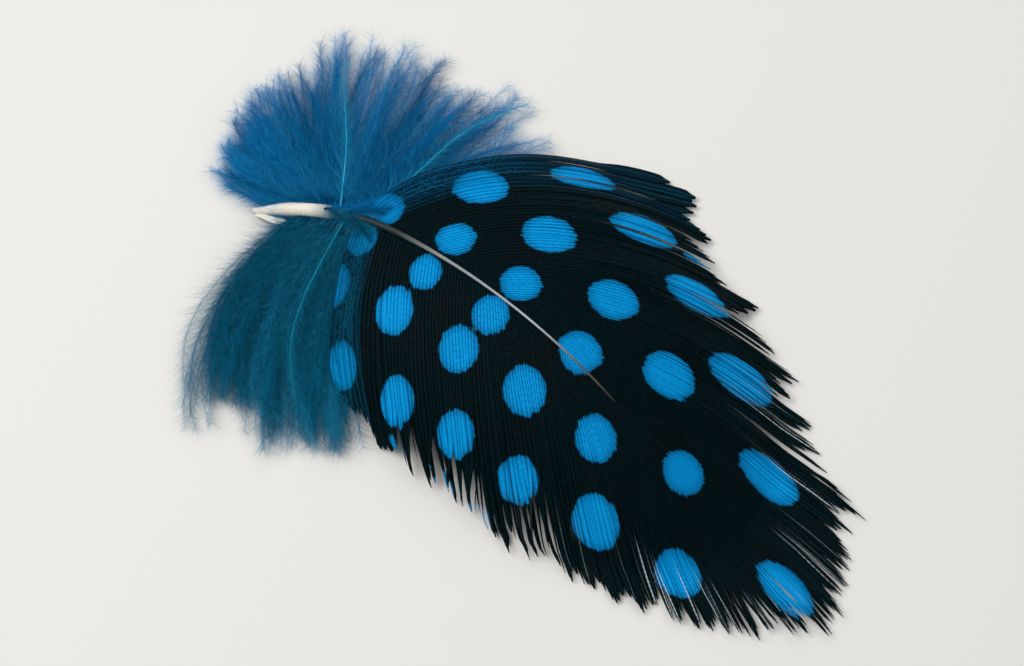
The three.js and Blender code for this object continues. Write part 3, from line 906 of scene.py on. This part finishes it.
def make_down(side, barbs, material):
    """One side's down in two layers, the fluff on the web's lowest barbs, and the wisps on the rachis."""
    line = down_barbs(side)
    barb = np.arange(len(line))
    upwards = np.sqrt(barb % DOWN_BARBS_PER_LOCK + 0.5) * np.sin(barb * GOLDEN_ANGLE)
    topmost = upwards.reshape(DOWN_LOCKS, -1).argmax(1) + DOWN_BARBS_PER_LOCK * np.arange(DOWN_LOCKS)
    pale = np.isin(barb, topmost[list(PALE_LOCKS[side.name])]).astype(float)
    line[..., 2] += PALE_RAISED * pale[:, None] * np.sin(np.pi * np.linspace(0, 1, DOWN_BARB_STEPS + 1))
    full = np.ones(line.shape[:2])
    for layer, chosen in (("lower", upwards <= 0), ("upper", upwards > 0)):
        name = side.name + "_down_" + layer + "_barbs"
        piece = make_fluff(side, name, line[chosen], full[chosen], pale[chosen], DOWN_HAIR_STARTS, material)
        if layer == "lower":
            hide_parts(side.name + "_down")
    centre, normal = (barbs[k][:FLUFFY_BARBS] for k in ("centre", "normal"))
    fading = 1 - ramp(np.linspace(0, 1, BARB_STEPS + 1), *FLUFF_FADES[side.name])
    thinning = (1 - np.arange(FLUFFY_BARBS) / FLUFFY_BARBS)[:, None] ** FLUFF_THINNING_POWER
    full = np.maximum(thinning * fading, FLUFF_LEAST)
    line = centre + FLUFF_RAISED * normal
    make_fluff(side, side.name + "_base_fluff", line, full, np.zeros(len(line)), 0.0, material)
    line = rachis_wisps(side)
    full = np.full(line.shape[:2], WISP_FULL)
    make_fluff(side, side.name + "_rachis_wisps", line, full, np.zeros(len(line)), 0.0, material)


# Where the feather's own zero lies in the frame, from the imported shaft's low corner
solid_shaft = shaft_rings(SOLID_SHAFT_STEPS, SOLID_SHAFT_SIDES)
frame_shift = np.array(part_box("shaft")[0]) / MM - solid_shaft.reshape(-1, 3).min(0)

horn = shaft_horn()
make_shaft(horn)
make_sheath_strip(horn)
barb_material = spotted_barbs()
# The right side's down is darker and greener than the left's: partly a real difference in the dye, partly
# painted shade
down_materials = {LEFT: dyed_down(LEFT, "#0270AC", "#0894DC", "#2DB2EC", "#35BEE8"),
                  RIGHT: dyed_down(RIGHT, "#045C80", "#0A7FA6", "#2A9EC0", "#1584A0")}
for vane_side in (LEFT, RIGHT):
    barbs_of_side = web_barbs(vane_side)
    make_web(vane_side, barbs_of_side, barb_material)
    make_barbules(vane_side, barbs_of_side, barb_material)
    make_down(vane_side, barbs_of_side, down_materials[vane_side])

# Stage: a plain pale floor, soft studio light, and a camera that looks down at the photograph's angle
FLOOR_SIZE = 8.0
CAMERA_AZIMUTH = 40.0
CAMERA_ELEVATION = 70.0
CAMERA_LENS = 100.0
CAMERA_DISTANCE = 0.30
CAMERA_AIM = (-0.0014, 0.0017, 0.0048)
CAMERA_CLIP_START = 0.01
WORLD_STRENGTH = 0.25

# Soft lights: name, azimuth, elevation, distance, size, watts
LIGHTS = (
    ("key_light", -60, 60, 0.6, 0.4, 2.9),
    ("fill_light", 110, 45, 0.7, 0.6, 1.0),
    ("back_light", 215, 40, 0.6, 0.3, 0.7),
)


def looking(azimuth, elevation):
    """The direction from the object to a viewer at an azimuth and elevation in degrees."""
    a, e = np.radians(azimuth), np.radians(elevation)
    return Vector((np.sin(a) * np.cos(e), -np.cos(a) * np.cos(e), np.sin(e)))


def make_floor():
    """A plain pale floor: one square sheet."""
    half = FLOOR_SIZE / 2
    mesh = bpy.data.meshes.new("floor")
    corners = [(-half, -half, 0), (half, -half, 0), (half, half, 0), (-half, half, 0)]
    mesh.from_pydata(corners, [], [(0, 1, 2, 3)])
    material, _ = new_material("pale_paper", Base_Color=linear("#E6E3DD"), Roughness=0.9)
    mesh.materials.append(material)
    floor = bpy.data.objects.new("floor", mesh)
    bpy.context.scene.collection.objects.link(floor)


def make_light(name, azimuth, elevation, distance, size, watts):
    """A square soft light that faces the feather."""
    data = bpy.data.lights.new(name, "AREA")
    data.size = size
    data.energy = watts
    light = bpy.data.objects.new(name, data)
    towards = looking(azimuth, elevation)
    light.location = towards * distance
    light.rotation_euler = towards.to_track_quat("Z", "Y").to_euler()
    bpy.context.scene.collection.objects.link(light)


def make_camera():
    """A long lens at the photograph's angle."""
    data = bpy.data.cameras.new("camera")
    data.lens = CAMERA_LENS
    data.clip_start = CAMERA_CLIP_START
    camera = bpy.data.objects.new("camera", data)
    towards = looking(CAMERA_AZIMUTH, CAMERA_ELEVATION)
    camera.location = Vector(CAMERA_AIM) + towards * CAMERA_DISTANCE
    camera.rotation_euler = towards.to_track_quat("Z", "Y").to_euler()
    bpy.context.scene.collection.objects.link(camera)
    bpy.context.scene.camera = camera


make_floor()
for light_row in LIGHTS:
    make_light(*light_row)
make_camera()
world = bpy.data.worlds.new("studio")
world.use_nodes = True
world.node_tree.nodes["Background"].inputs["Color"].default_value = linear("#DDE3EA")
world.node_tree.nodes["Background"].inputs["Strength"].default_value = WORLD_STRENGTH
bpy.context.scene.world = world
bpy.context.scene.view_settings.view_transform = "Standard"
